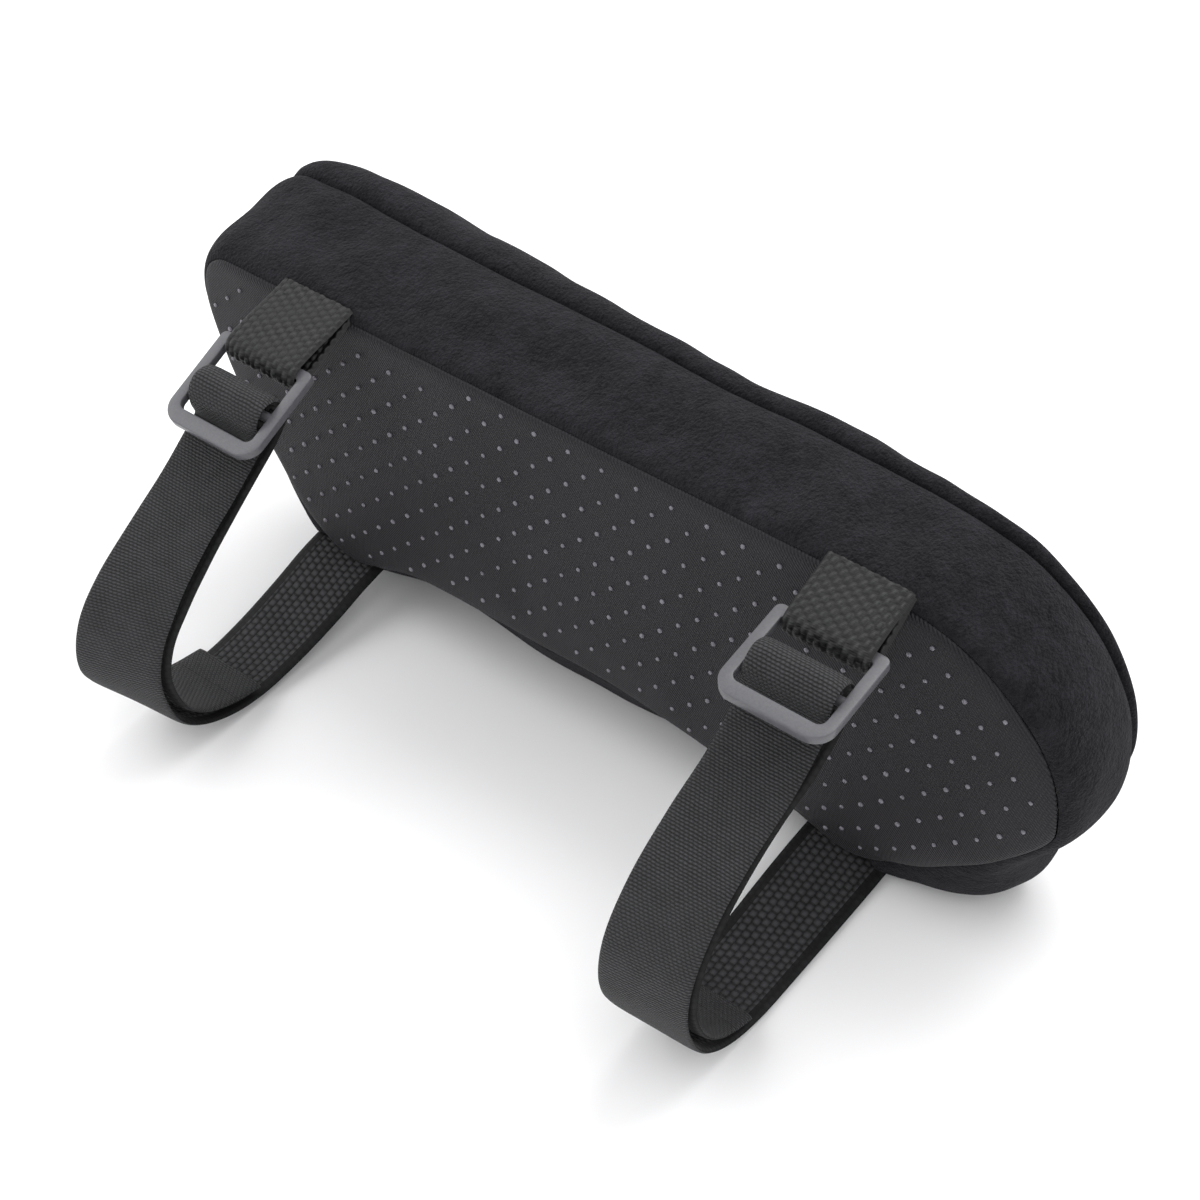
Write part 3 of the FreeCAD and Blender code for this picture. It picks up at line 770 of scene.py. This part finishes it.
def make_dots():
    """A dome per spot: ring radius r cos(a) and height h sin(a), on the panel's surface, with small random
    differences in size."""
    spots = dot_spots()
    lean = np.linspace(0, np.pi / 2, DOT_RINGS + 1)[:-1, None]
    turn = np.arange(DOT_SIDES) / DOT_SIDES * 2 * np.pi
    ring = np.stack(np.broadcast_arrays(np.cos(lean) * np.cos(turn), -np.sin(lean),
                                        np.cos(lean) * np.sin(turn)), 2).reshape(-1, 3)
    dome = np.vstack([ring, [[0, -1, 0]], [[0, 0.3, 0]]]) * (DOT_RADIUS, DOT_HEIGHT, DOT_RADIUS)
    x, z = spots.T
    places = np.stack([x, BASE_FACE + base_drop(x, z), z], 1)
    surface = base_full.reshape(-1, 3)
    places[:, 1] = near_mean(places, surface, surface[:, 1:2], 1.2)[:, 0]
    scale = np.random.default_rng(11).uniform(0.88, 1.1, (len(spots), 1, 1))
    points = places[:, None] + dome[None] * scale
    here = np.arange(DOT_SIDES)
    after, last = (here + 1) % DOT_SIDES, len(ring) - DOT_SIDES
    top = np.stack([last + here, last + after, np.full(DOT_SIDES, len(ring))], 1)
    bottom = np.stack([after, here, np.full(DOT_SIDES, len(ring) + 1)], 1)
    faces = []
    for part in (grid_faces(DOT_RINGS, DOT_SIDES, close_columns=True), top, bottom):
        every = part[None] + (np.arange(len(spots)) * len(dome))[:, None, None]
        faces += every.reshape(-1, part.shape[1]).tolist()
    piece = make_piece("dots", points, faces, silicone)
    clean_up(piece, merge=True)
    print("dots:", len(spots))
    return piece


dots = make_dots()

# %% [markdown]
# ## Straps
# Each strap is one band of elastic. It is sewn in under the pad, runs out along the table, comes up and
# into the buckle from below, rolls over the middle bar and ends as a loose tail inside the loop. The line
# is one smooth curve in a vertical plane, and a flat section with rounded edges is carried along it, turned
# a little where nothing holds it. The band is then parted into the pieces that move with different bodies;
# they share their end sections.

# %% The line of each strap
STRAP_THICKNESS = 1.5
WEBBING_WIDTH = 20.0
# Lines and places are (y, z) in mm. The pivot is the axis that the buckle turns on, and slope is how far it
# leans, in degrees. root_lift raises one edge at the sewn end. bend and exit are two heights on the loop
# and tail. The tail's loose end runs from loose to tip.
STRAPS = {
    "left": {
        "x": -78.8, "pivot": (-2.6, 82.6), "slope": 24.0, "root_lift": 1.0, "twist": 0.3,
        "loop": [(18.5, 10.2), (11.0, 8.6), (2.0, 6.1), (-11.0, 3.5), (-24.0, 2.4), (-34.0, 3.9),
                 (-43.0, 8.0), (-51.0, 15.5), (-56.2, 27.0), (-54.5, 38.0), (-47.5, 47.5), (-37.0, 56.0),
                 (-26.0, 63.6), (-18.4, 69.6)],
        "tail": [(-8.6, 73.6), (-12.4, 69.6), (-18.6, 64.8), (-26.0, 59.2), (-36.0, 52.0), (-45.0, 44.6),
                 (-51.4, 36.6), (-53.2, 27.6), (-48.8, 17.6), (-41.8, 10.9), (-34.0, 7.2), (-25.0, 5.2)],
        "bend": 14.0, "exit": 66.0, "loose": (-33.0, 7.0), "tip": (-25.0, 5.2),
    },
    "right": {
        "x": 63.8, "pivot": (1.6, 81.9), "slope": 9.0, "root_lift": 2.3, "twist": 0.1,
        "loop": [(20.5, 1.3), (10.0, 0.9), (0.0, 0.8), (-14.0, 0.8), (-28.0, 1.2), (-38.0, 3.8),
                 (-46.5, 9.3), (-53.3, 18.5), (-57.0, 29.5), (-55.6, 41.0), (-48.0, 52.0), (-36.5, 60.0),
                 (-24.0, 66.2), (-16.4, 72.4)],
        "tail": [(-6.0, 74.0), (-9.8, 69.6), (-17.0, 64.9), (-27.0, 61.3), (-37.0, 56.0), (-46.5, 48.6),
                 (-52.6, 39.6), (-54.0, 29.6), (-50.6, 19.8), (-44.2, 11.3), (-37.5, 6.9), (-32.0, 4.7)],
        "bend": 14.0, "exit": 68.0, "loose": (-38.0, 7.2), "tip": (-32.0, 4.7),
    },
}
MIDDLE_BAR_PLACE = 11.6
# The turn round the middle bar, in buckle axes with the bar at (0, 0).
ROLL = [(5.2, -4.6), (4.6, -1.0), (3.2, 2.2), (0.0, 3.7), (-3.2, 2.2), (-4.4, -1.0), (-4.7, -4.6)]


def on_buckle(points, strap):
    """Buckle axes (u away from the pad, v out of the plate) to (y, z): turned by the slope, then moved."""
    u, v = np.asarray(points, float).T
    slope = math.radians(strap["slope"])
    y, z = strap["pivot"]
    return np.stack([y - u * math.cos(slope) - v * math.sin(slope),
                     z - u * math.sin(slope) + v * math.cos(slope)], 1)


def open_curve(points, step):
    """A smooth open line through points: Catmull-Rom pieces on their chord lengths, evenly spaced."""
    points = np.asarray(points, float)
    points = np.vstack([2 * points[0] - points[1], points, 2 * points[-1] - points[-2]])
    knots = np.concatenate([[0], np.cumsum(np.linalg.norm(np.diff(points, axis=0), axis=1) ** 0.5)])
    t = np.linspace(knots[1], knots[-2], 4000)
    i = np.clip(np.searchsorted(knots, t, "right") - 1, 1, len(points) - 3)
    t0, t1, t2, t3 = (knots[i + k] for k in (-1, 0, 1, 2))
    p0, p1, p2, p3 = (points[i + k] for k in (-1, 0, 1, 2))

    def mix(a, b, ta, tb):
        return a * ((tb - t) / (tb - ta))[:, None] + b * ((t - ta) / (tb - ta))[:, None]
    a1, a2, a3 = mix(p0, p1, t0, t1), mix(p1, p2, t1, t2), mix(p2, p3, t2, t3)
    b1, b2 = mix(a1, a2, t0, t2), mix(a2, a3, t1, t3)
    line = mix(b1, b2, t1, t2)
    return spread(line, max(int(distance_along(line)[-1] / step), 2))


def ribbon(name, line, x, material, thickness=STRAP_THICKNESS, start=0.0, relief=None, columns=24,
           root_lift=0.0, twist=0.0):
    """A flat band along a (y, z) line: half thickness h(u) = (1 - |2u / width|^8)^(1/2) on both faces.
    Between the table and the slider it also turns a little: y grows by twist times the place across."""
    even = np.linspace(-1, 1, columns)
    u = 0.25 * np.sin(even * np.pi / 2) + 0.25 * even
    run = unit(np.gradient(line, axis=0))
    # The face of the band that looks away from the loop's middle counts as outside.
    normal = np.stack([-run[:, 1], run[:, 0]], 1)
    along = start + distance_along(line)
    half = thickness / 2 * np.clip(1 - np.abs(2 * u) ** 8, 0, 1) ** 0.5
    across = np.concatenate([u, u[::-1]])[None] * WEBBING_WIDTH
    side = np.concatenate([np.ones(columns), -np.ones(columns)])[None]
    lift = np.concatenate([half, -half])[None] * np.ones((len(line), 1))
    extra = np.zeros_like(lift) if relief is None else relief(across, along[:, None])
    lift = lift + side * extra
    y, z = line[:, :1], line[:, 1:]
    points = np.stack(np.broadcast_arrays(x + across, y + normal[:, :1] * lift,
                                          z + normal[:, 1:] * lift), 2)
    if root_lift:
        near_root = smooth_step((y + 26) / 42) * (z < 20)
        points[..., 2] += near_root * root_lift * (1 - across / (WEBBING_WIDTH / 2))
    free_run = smooth_step((z - 8) / 20) * (1 - smooth_step((z - 42) / 20))
    points[..., 1] += twist * across * free_run
    ring, here = 2 * columns, np.arange(columns - 1)
    faces = grid_faces(len(line), ring, close_columns=True).tolist()
    cap = np.stack([here, here + 1, ring - 2 - here, ring - 1 - here], 1)
    faces += cap.tolist() + (cap[:, ::-1] + (len(line) - 1) * ring).tolist()
    attributes = {"weave": np.stack(np.broadcast_arrays(across, along[:, None], side), 2)}
    if relief is not None:
        attributes["relief"] = np.repeat((extra / max(extra.max(), 1e-9))[..., None], 3, 2)
    piece = make_piece(name, points, faces, material, attributes)
    clean_up(piece)
    return piece, along[-1]


def make_strap(side):
    """The elastic of one strap, cut where it changes body: loop, turn over the bar, tail, loose end."""
    strap = STRAPS[side]
    roll = on_buckle([(MIDDLE_BAR_PLACE + u, v) for u, v in ROLL], strap)
    line = open_curve(np.vstack([strap["loop"], roll, strap["tail"]]), 0.5)
    cuts = [int(np.argmin(np.linalg.norm(line - p, axis=1))) for p in (roll[0], roll[-1], strap["loose"])]
    stops = [0, *cuts, len(line) - 1]
    made, start = [], 0.0
    for part, low, high in zip(("loop", "roll", "inner", "loose"), stops[:-1], stops[1:]):
        lift = strap["root_lift"] if low == 0 else 0.0
        piece, start = ribbon(f"strap_{part}_{side}", line[low:high + 1], strap["x"], elastic, start=start,
                              root_lift=lift, twist=strap["twist"])
        made.append(piece)
    print(side, "strap length mm:", round(start, 1))
    return made


straps = {side: make_strap(side) for side in STRAPS}

# %% [markdown]
# ## Webbing tabs
# A short piece of stiff webbing is folded round the buckle's top side, and both its ends are caught in the
# seam. Its weave is coarse enough to be real relief: knots in columns, each shifted by about a third.

# %% Tabs
TAB_THICKNESS, TAB_INNER = 1.3, 1.7
TAB_ROOT = np.array([15.0, 88.3])
KNOT_WIDE, KNOT_LONG, KNOT_HIGH, KNOT_SHIFT = 1.55, 2.2, 0.5, 0.36
KNOT_EDGE = 9.3


def knot_relief(across, along):
    """Knots: (|cos| across times |sin| along)^0.75, each column shifted by KNOT_SHIFT of a knot."""
    column = np.floor(across / KNOT_WIDE + 0.5)
    hill = np.abs(np.cos(np.pi * across / KNOT_WIDE))
    knot = np.abs(np.sin(np.pi * (along / KNOT_LONG + KNOT_SHIFT * column)))
    fade = 1 - smooth_step((np.abs(across) - KNOT_EDGE) / 0.6)
    return KNOT_HIGH * (hill * knot) ** 0.75 * fade


def make_tab(side):
    """Two runs from the seam to the top bar and a half turn round it, as one line."""
    strap = STRAPS[side]
    pivot = np.array(strap["pivot"])
    away = (TAB_ROOT - pivot) / np.linalg.norm(TAB_ROOT - pivot)
    up = np.array([-away[1], away[0]])

    def spot(share, above):
        return TAB_ROOT * share + pivot * (1 - share) + up * above

    radius = TAB_INNER + TAB_THICKNESS / 2
    turn = np.radians(np.linspace(90, 270, 9))[:, None]
    bend = pivot + radius * (np.cos(turn) * away + np.sin(turn) * up)
    upper = [spot(1.0, 1.0), spot(0.66, 1.45), spot(0.33, 2.1)]
    lower = [spot(0.33, -2.1), spot(0.66, -1.45), spot(1.0, -0.6)]
    line = open_curve(np.vstack([upper, bend, lower]), 0.22)
    piece, _ = ribbon("tab_" + side, line[::-1], strap["x"], webbing, thickness=TAB_THICKNESS,
                      relief=knot_relief, columns=96)
    return piece


tabs = {side: make_tab(side) for side in STRAPS}

# %% [markdown]
# ## Buckles
# A three-bar slider is moulded in one go: a frame with rounded corners and a round middle bar for the
# elastic. The tab holds the frame's top side, and the loop bears on the far side, which is wider. The frame
# is a rounded section carried round, between an outer and an inner outline; the bar is a tube across it.

# %% Slider buckles
BUCKLE_WIDTH, BUCKLE_LENGTH, BUCKLE_THICKNESS = 26.0, 23.6, 2.3
SIDE_WIDE, TOP_WIDE, FAR_WIDE, BAR_RADIUS = 2.6, 2.6, 3.4, 1.1
OUTER_CORNERS, INNER_CORNERS = (4.4, 4.4, 1.5, 1.5), (1.7, 1.7, 0.8, 0.8)
SECTION_POINTS = 24


def rounded_outline(half, low, high, radii, steps=12):
    """A closed rectangle 2 half wide from low to high, each corner a quarter circle of its own radius."""
    corners = ((1, high, 1, 0), (-1, high, 1, 90), (-1, low, -1, 180), (1, low, -1, 270))
    points = []
    for (way, y, up, start), r in zip(corners, radii):
        turn = np.radians(start + np.linspace(0, 90, steps))
        points.append(np.stack([way * (half - r) + r * np.cos(turn), y - r * up + r * np.sin(turn)], 1))
    return np.vstack(points)


def buckle_mesh():
    """Points and faces in buckle axes: x across, u away from the pad, v out of the plate. The frame's
    section is a squarish ring, sign(c) |c|^0.22 with c the cosine one way and the sine the other."""
    half, top = BUCKLE_WIDTH / 2, -TOP_WIDE / 2
    far, inner_half = BUCKLE_LENGTH + top, half - SIDE_WIDE
    outer = rounded_outline(half, top, far, OUTER_CORNERS)
    inner = rounded_outline(inner_half, top + TOP_WIDE, far - FAR_WIDE, INNER_CORNERS)
    # The far side bows outwards a little.
    outer[:, 1] += 0.5 * np.clip(outer[:, 1] / far, 0, 1) ** 6 * (1 - (outer[:, 0] / half) ** 2)
    turn = np.linspace(0, 2 * np.pi, SECTION_POINTS, endpoint=False)
    c, s = np.cos(turn), np.sin(turn)
    wide, high = (np.sign(v) * np.abs(v) ** 0.22 for v in (c, s))
    flat = (outer + inner)[:, None] / 2 + (outer - inner)[:, None] / 2 * wide[None, :, None]
    frame_ring = np.stack(np.broadcast_arrays(flat[..., 0], flat[..., 1], high * BUCKLE_THICKNESS / 2), 2)
    across = np.linspace(-inner_half - 0.6, inner_half + 0.6, 14)[:, None]
    bar = np.stack(np.broadcast_arrays(across, MIDDLE_BAR_PLACE + c * BAR_RADIUS, s * BAR_RADIUS), 2)
    faces = [grid_faces(*frame_ring.shape[:2], True, True),
             grid_faces(*bar.shape[:2], False, True) + frame_ring.size // 3]
    return np.vstack([frame_ring.reshape(-1, 3), bar.reshape(-1, 3)]), np.vstack(faces)


def make_buckle(side):
    """The buckle put in its place: turned by its slope, x kept."""
    strap = STRAPS[side]
    points, faces = buckle_mesh()
    points = np.column_stack([strap["x"] + points[:, 0], on_buckle(points[:, 1:], strap)])
    piece = make_piece("slider_" + side, points, faces, acetal)
    clean_up(piece)
    return piece


buckles = {side: make_buckle(side) for side in STRAPS}

# %% [markdown]
# ## Zip
# A nylon coil zip: each side is one filament wound into a flat coil and sewn to its tape. The coil is a
# tube along a helix. The tapes, end stops, slider and pull keep their solid shapes and get their finishes.

# %% Coils and the other zip parts
COIL_PITCH, COIL_WIRE = 1.25, 0.24


def make_coil(name, node):
    """A helix along X that fills the node's box, wound COIL_PITCH mm apart, as a six-sided tube."""
    low, high = (np.array(v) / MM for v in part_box(node))
    middle, reach = (low + high) / 2, (high - low) / 2 - COIL_WIRE
    turns = (high[0] - low[0] - 2 * COIL_WIRE) / COIL_PITCH
    t = np.linspace(0, turns * 2 * np.pi, int(turns * 14))
    x = low[0] + COIL_WIRE + t / (2 * np.pi) * COIL_PITCH
    line = np.stack([x, middle[1] + reach[1] * np.cos(t), middle[2] + reach[2] * np.sin(t)], 1)
    run = unit(np.gradient(line, axis=0))
    side = unit(np.cross(run, (1.0, 0, 0)))
    other = np.cross(run, side)
    a = (np.arange(6) / 6 * 2 * np.pi)[None, :, None]
    tube = line[:, None] + COIL_WIRE * (np.cos(a) * side[:, None] + np.sin(a) * other[:, None])
    ends = np.array([[0, 1, 2, 3], [0, 3, 4, 5]])
    faces = np.vstack([grid_faces(len(t), 6, False, True), ends, ends[:, ::-1] + (len(t) - 1) * 6])
    piece = make_piece(name, tube, faces, nylon)
    clean_up(piece)
    return piece


coils = [make_coil("coil_base", "zip_coil_base_side"), make_coil("coil_contact", "zip_coil_contact_side")]
for name, finish in (("zip_tape_base_side", tape_cloth), ("zip_tape_contact_side", tape_cloth),
                     ("zip_end_stops", painted), ("zip_slider", painted), ("zip_pull", painted)):
    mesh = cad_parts[name].data
    mesh.materials.clear()
    mesh.materials.append(finish)

# %% [markdown]
# ## What moves with what
# The cover, foam, dots, coils and tabs are put on the pad; the zip's tapes belong to it too and keep their
# place from model.glb. A buckle tilts about its top bar, and the roll of elastic in it goes along; the
# loop, the tail and its loose end stay where they are.

# %% Riding on the pad and the buckles
STILL_PIECES = (
    (base_panel, "base_panel", "black_twill"), (contact_panel, "contact_panel", "black_velour"),
    (side_band, "side_band", "black_velour"), (strip_low, "zip_strip_base_side", "black_velour"),
    (strip_high, "zip_strip_contact_side", "black_velour"), (foam, "foam_core", "memory_foam"),
    (dots, "grip_dots", "grey_silicone"), (coils[0], "zip_coil_base_side", "black_nylon"),
    (coils[1], "zip_coil_contact_side", "black_nylon"), (tabs["left"], "webbing_tab_left", "black_webbing"),
    (tabs["right"], "webbing_tab_right", "black_webbing"))
for piece, node, slot in STILL_PIECES:
    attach(piece, "pad")
    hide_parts(node)


for side, strap in STRAPS.items():
    loop, roll, tail, loose = straps[side]
    buckle = "buckle_" + side
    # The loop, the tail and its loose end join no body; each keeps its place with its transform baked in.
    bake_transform(loop)
    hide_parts("strap_floor_" + side, "strap_front_" + side)
    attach(roll, buckle)
    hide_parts("strap_turn_" + side)
    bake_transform(tail)
    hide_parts("strap_tail_" + side)
    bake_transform(loose)
    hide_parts("strap_tail_end_" + side)
    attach(buckles[side], buckle)
    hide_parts(buckle)

# %% [markdown]
# ## Table and light
# A white table top under a bright even sky, which lifts the shadows to light grey. Two large soft lamps
# give the shadows their direction: one from behind and above, and a weaker one from the left.

# %% Floor, sky and lamps
TABLE_HALF = 2000.0
SKY_STRENGTH = 1.2


def make_floor():
    """A plain white table top, 4 m square, at the height the pad lies on."""
    points = np.array([(-1, -1, 0), (1, -1, 0), (1, 1, 0), (-1, 1, 0)]) * TABLE_HALF
    material, _, shader = new_material("white_table", Roughness=0.6, Specular_IOR_Level=0.2)
    shader.inputs["Base Color"].default_value = linear("#f7f7f8")
    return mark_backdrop(make_piece("table_top", points, [[0, 1, 2, 3]], material, smooth=False))


def make_lamp(name, place, size, power):
    """A square soft light at a place, turned to look at the pad."""
    data = bpy.data.lights.new(name, "AREA")
    data.shape, data.size, data.energy = "SQUARE", size, power
    lamp = bpy.data.objects.new(name, data)
    bpy.context.scene.collection.objects.link(lamp)
    lamp.location = place
    lamp.rotation_mode = "QUATERNION"
    lamp.rotation_quaternion = (Vector((0, 0, 0.03)) - Vector(place)).to_track_quat("-Z", "Y")
    return lamp


make_floor()
world = bpy.data.worlds.new("studio")
world.use_nodes = True
sky = world.node_tree.nodes["Background"].inputs
sky["Color"].default_value, sky["Strength"].default_value = linear("#ffffff"), SKY_STRENGTH
bpy.context.scene.world = world
make_lamp("back_light", (0.1, 0.75, 1.15), 0.9, 9.5)
make_lamp("left_light", (-0.9, -0.3, 0.8), 0.7, 3.0)
bpy.context.scene.view_settings.view_transform = "Standard"
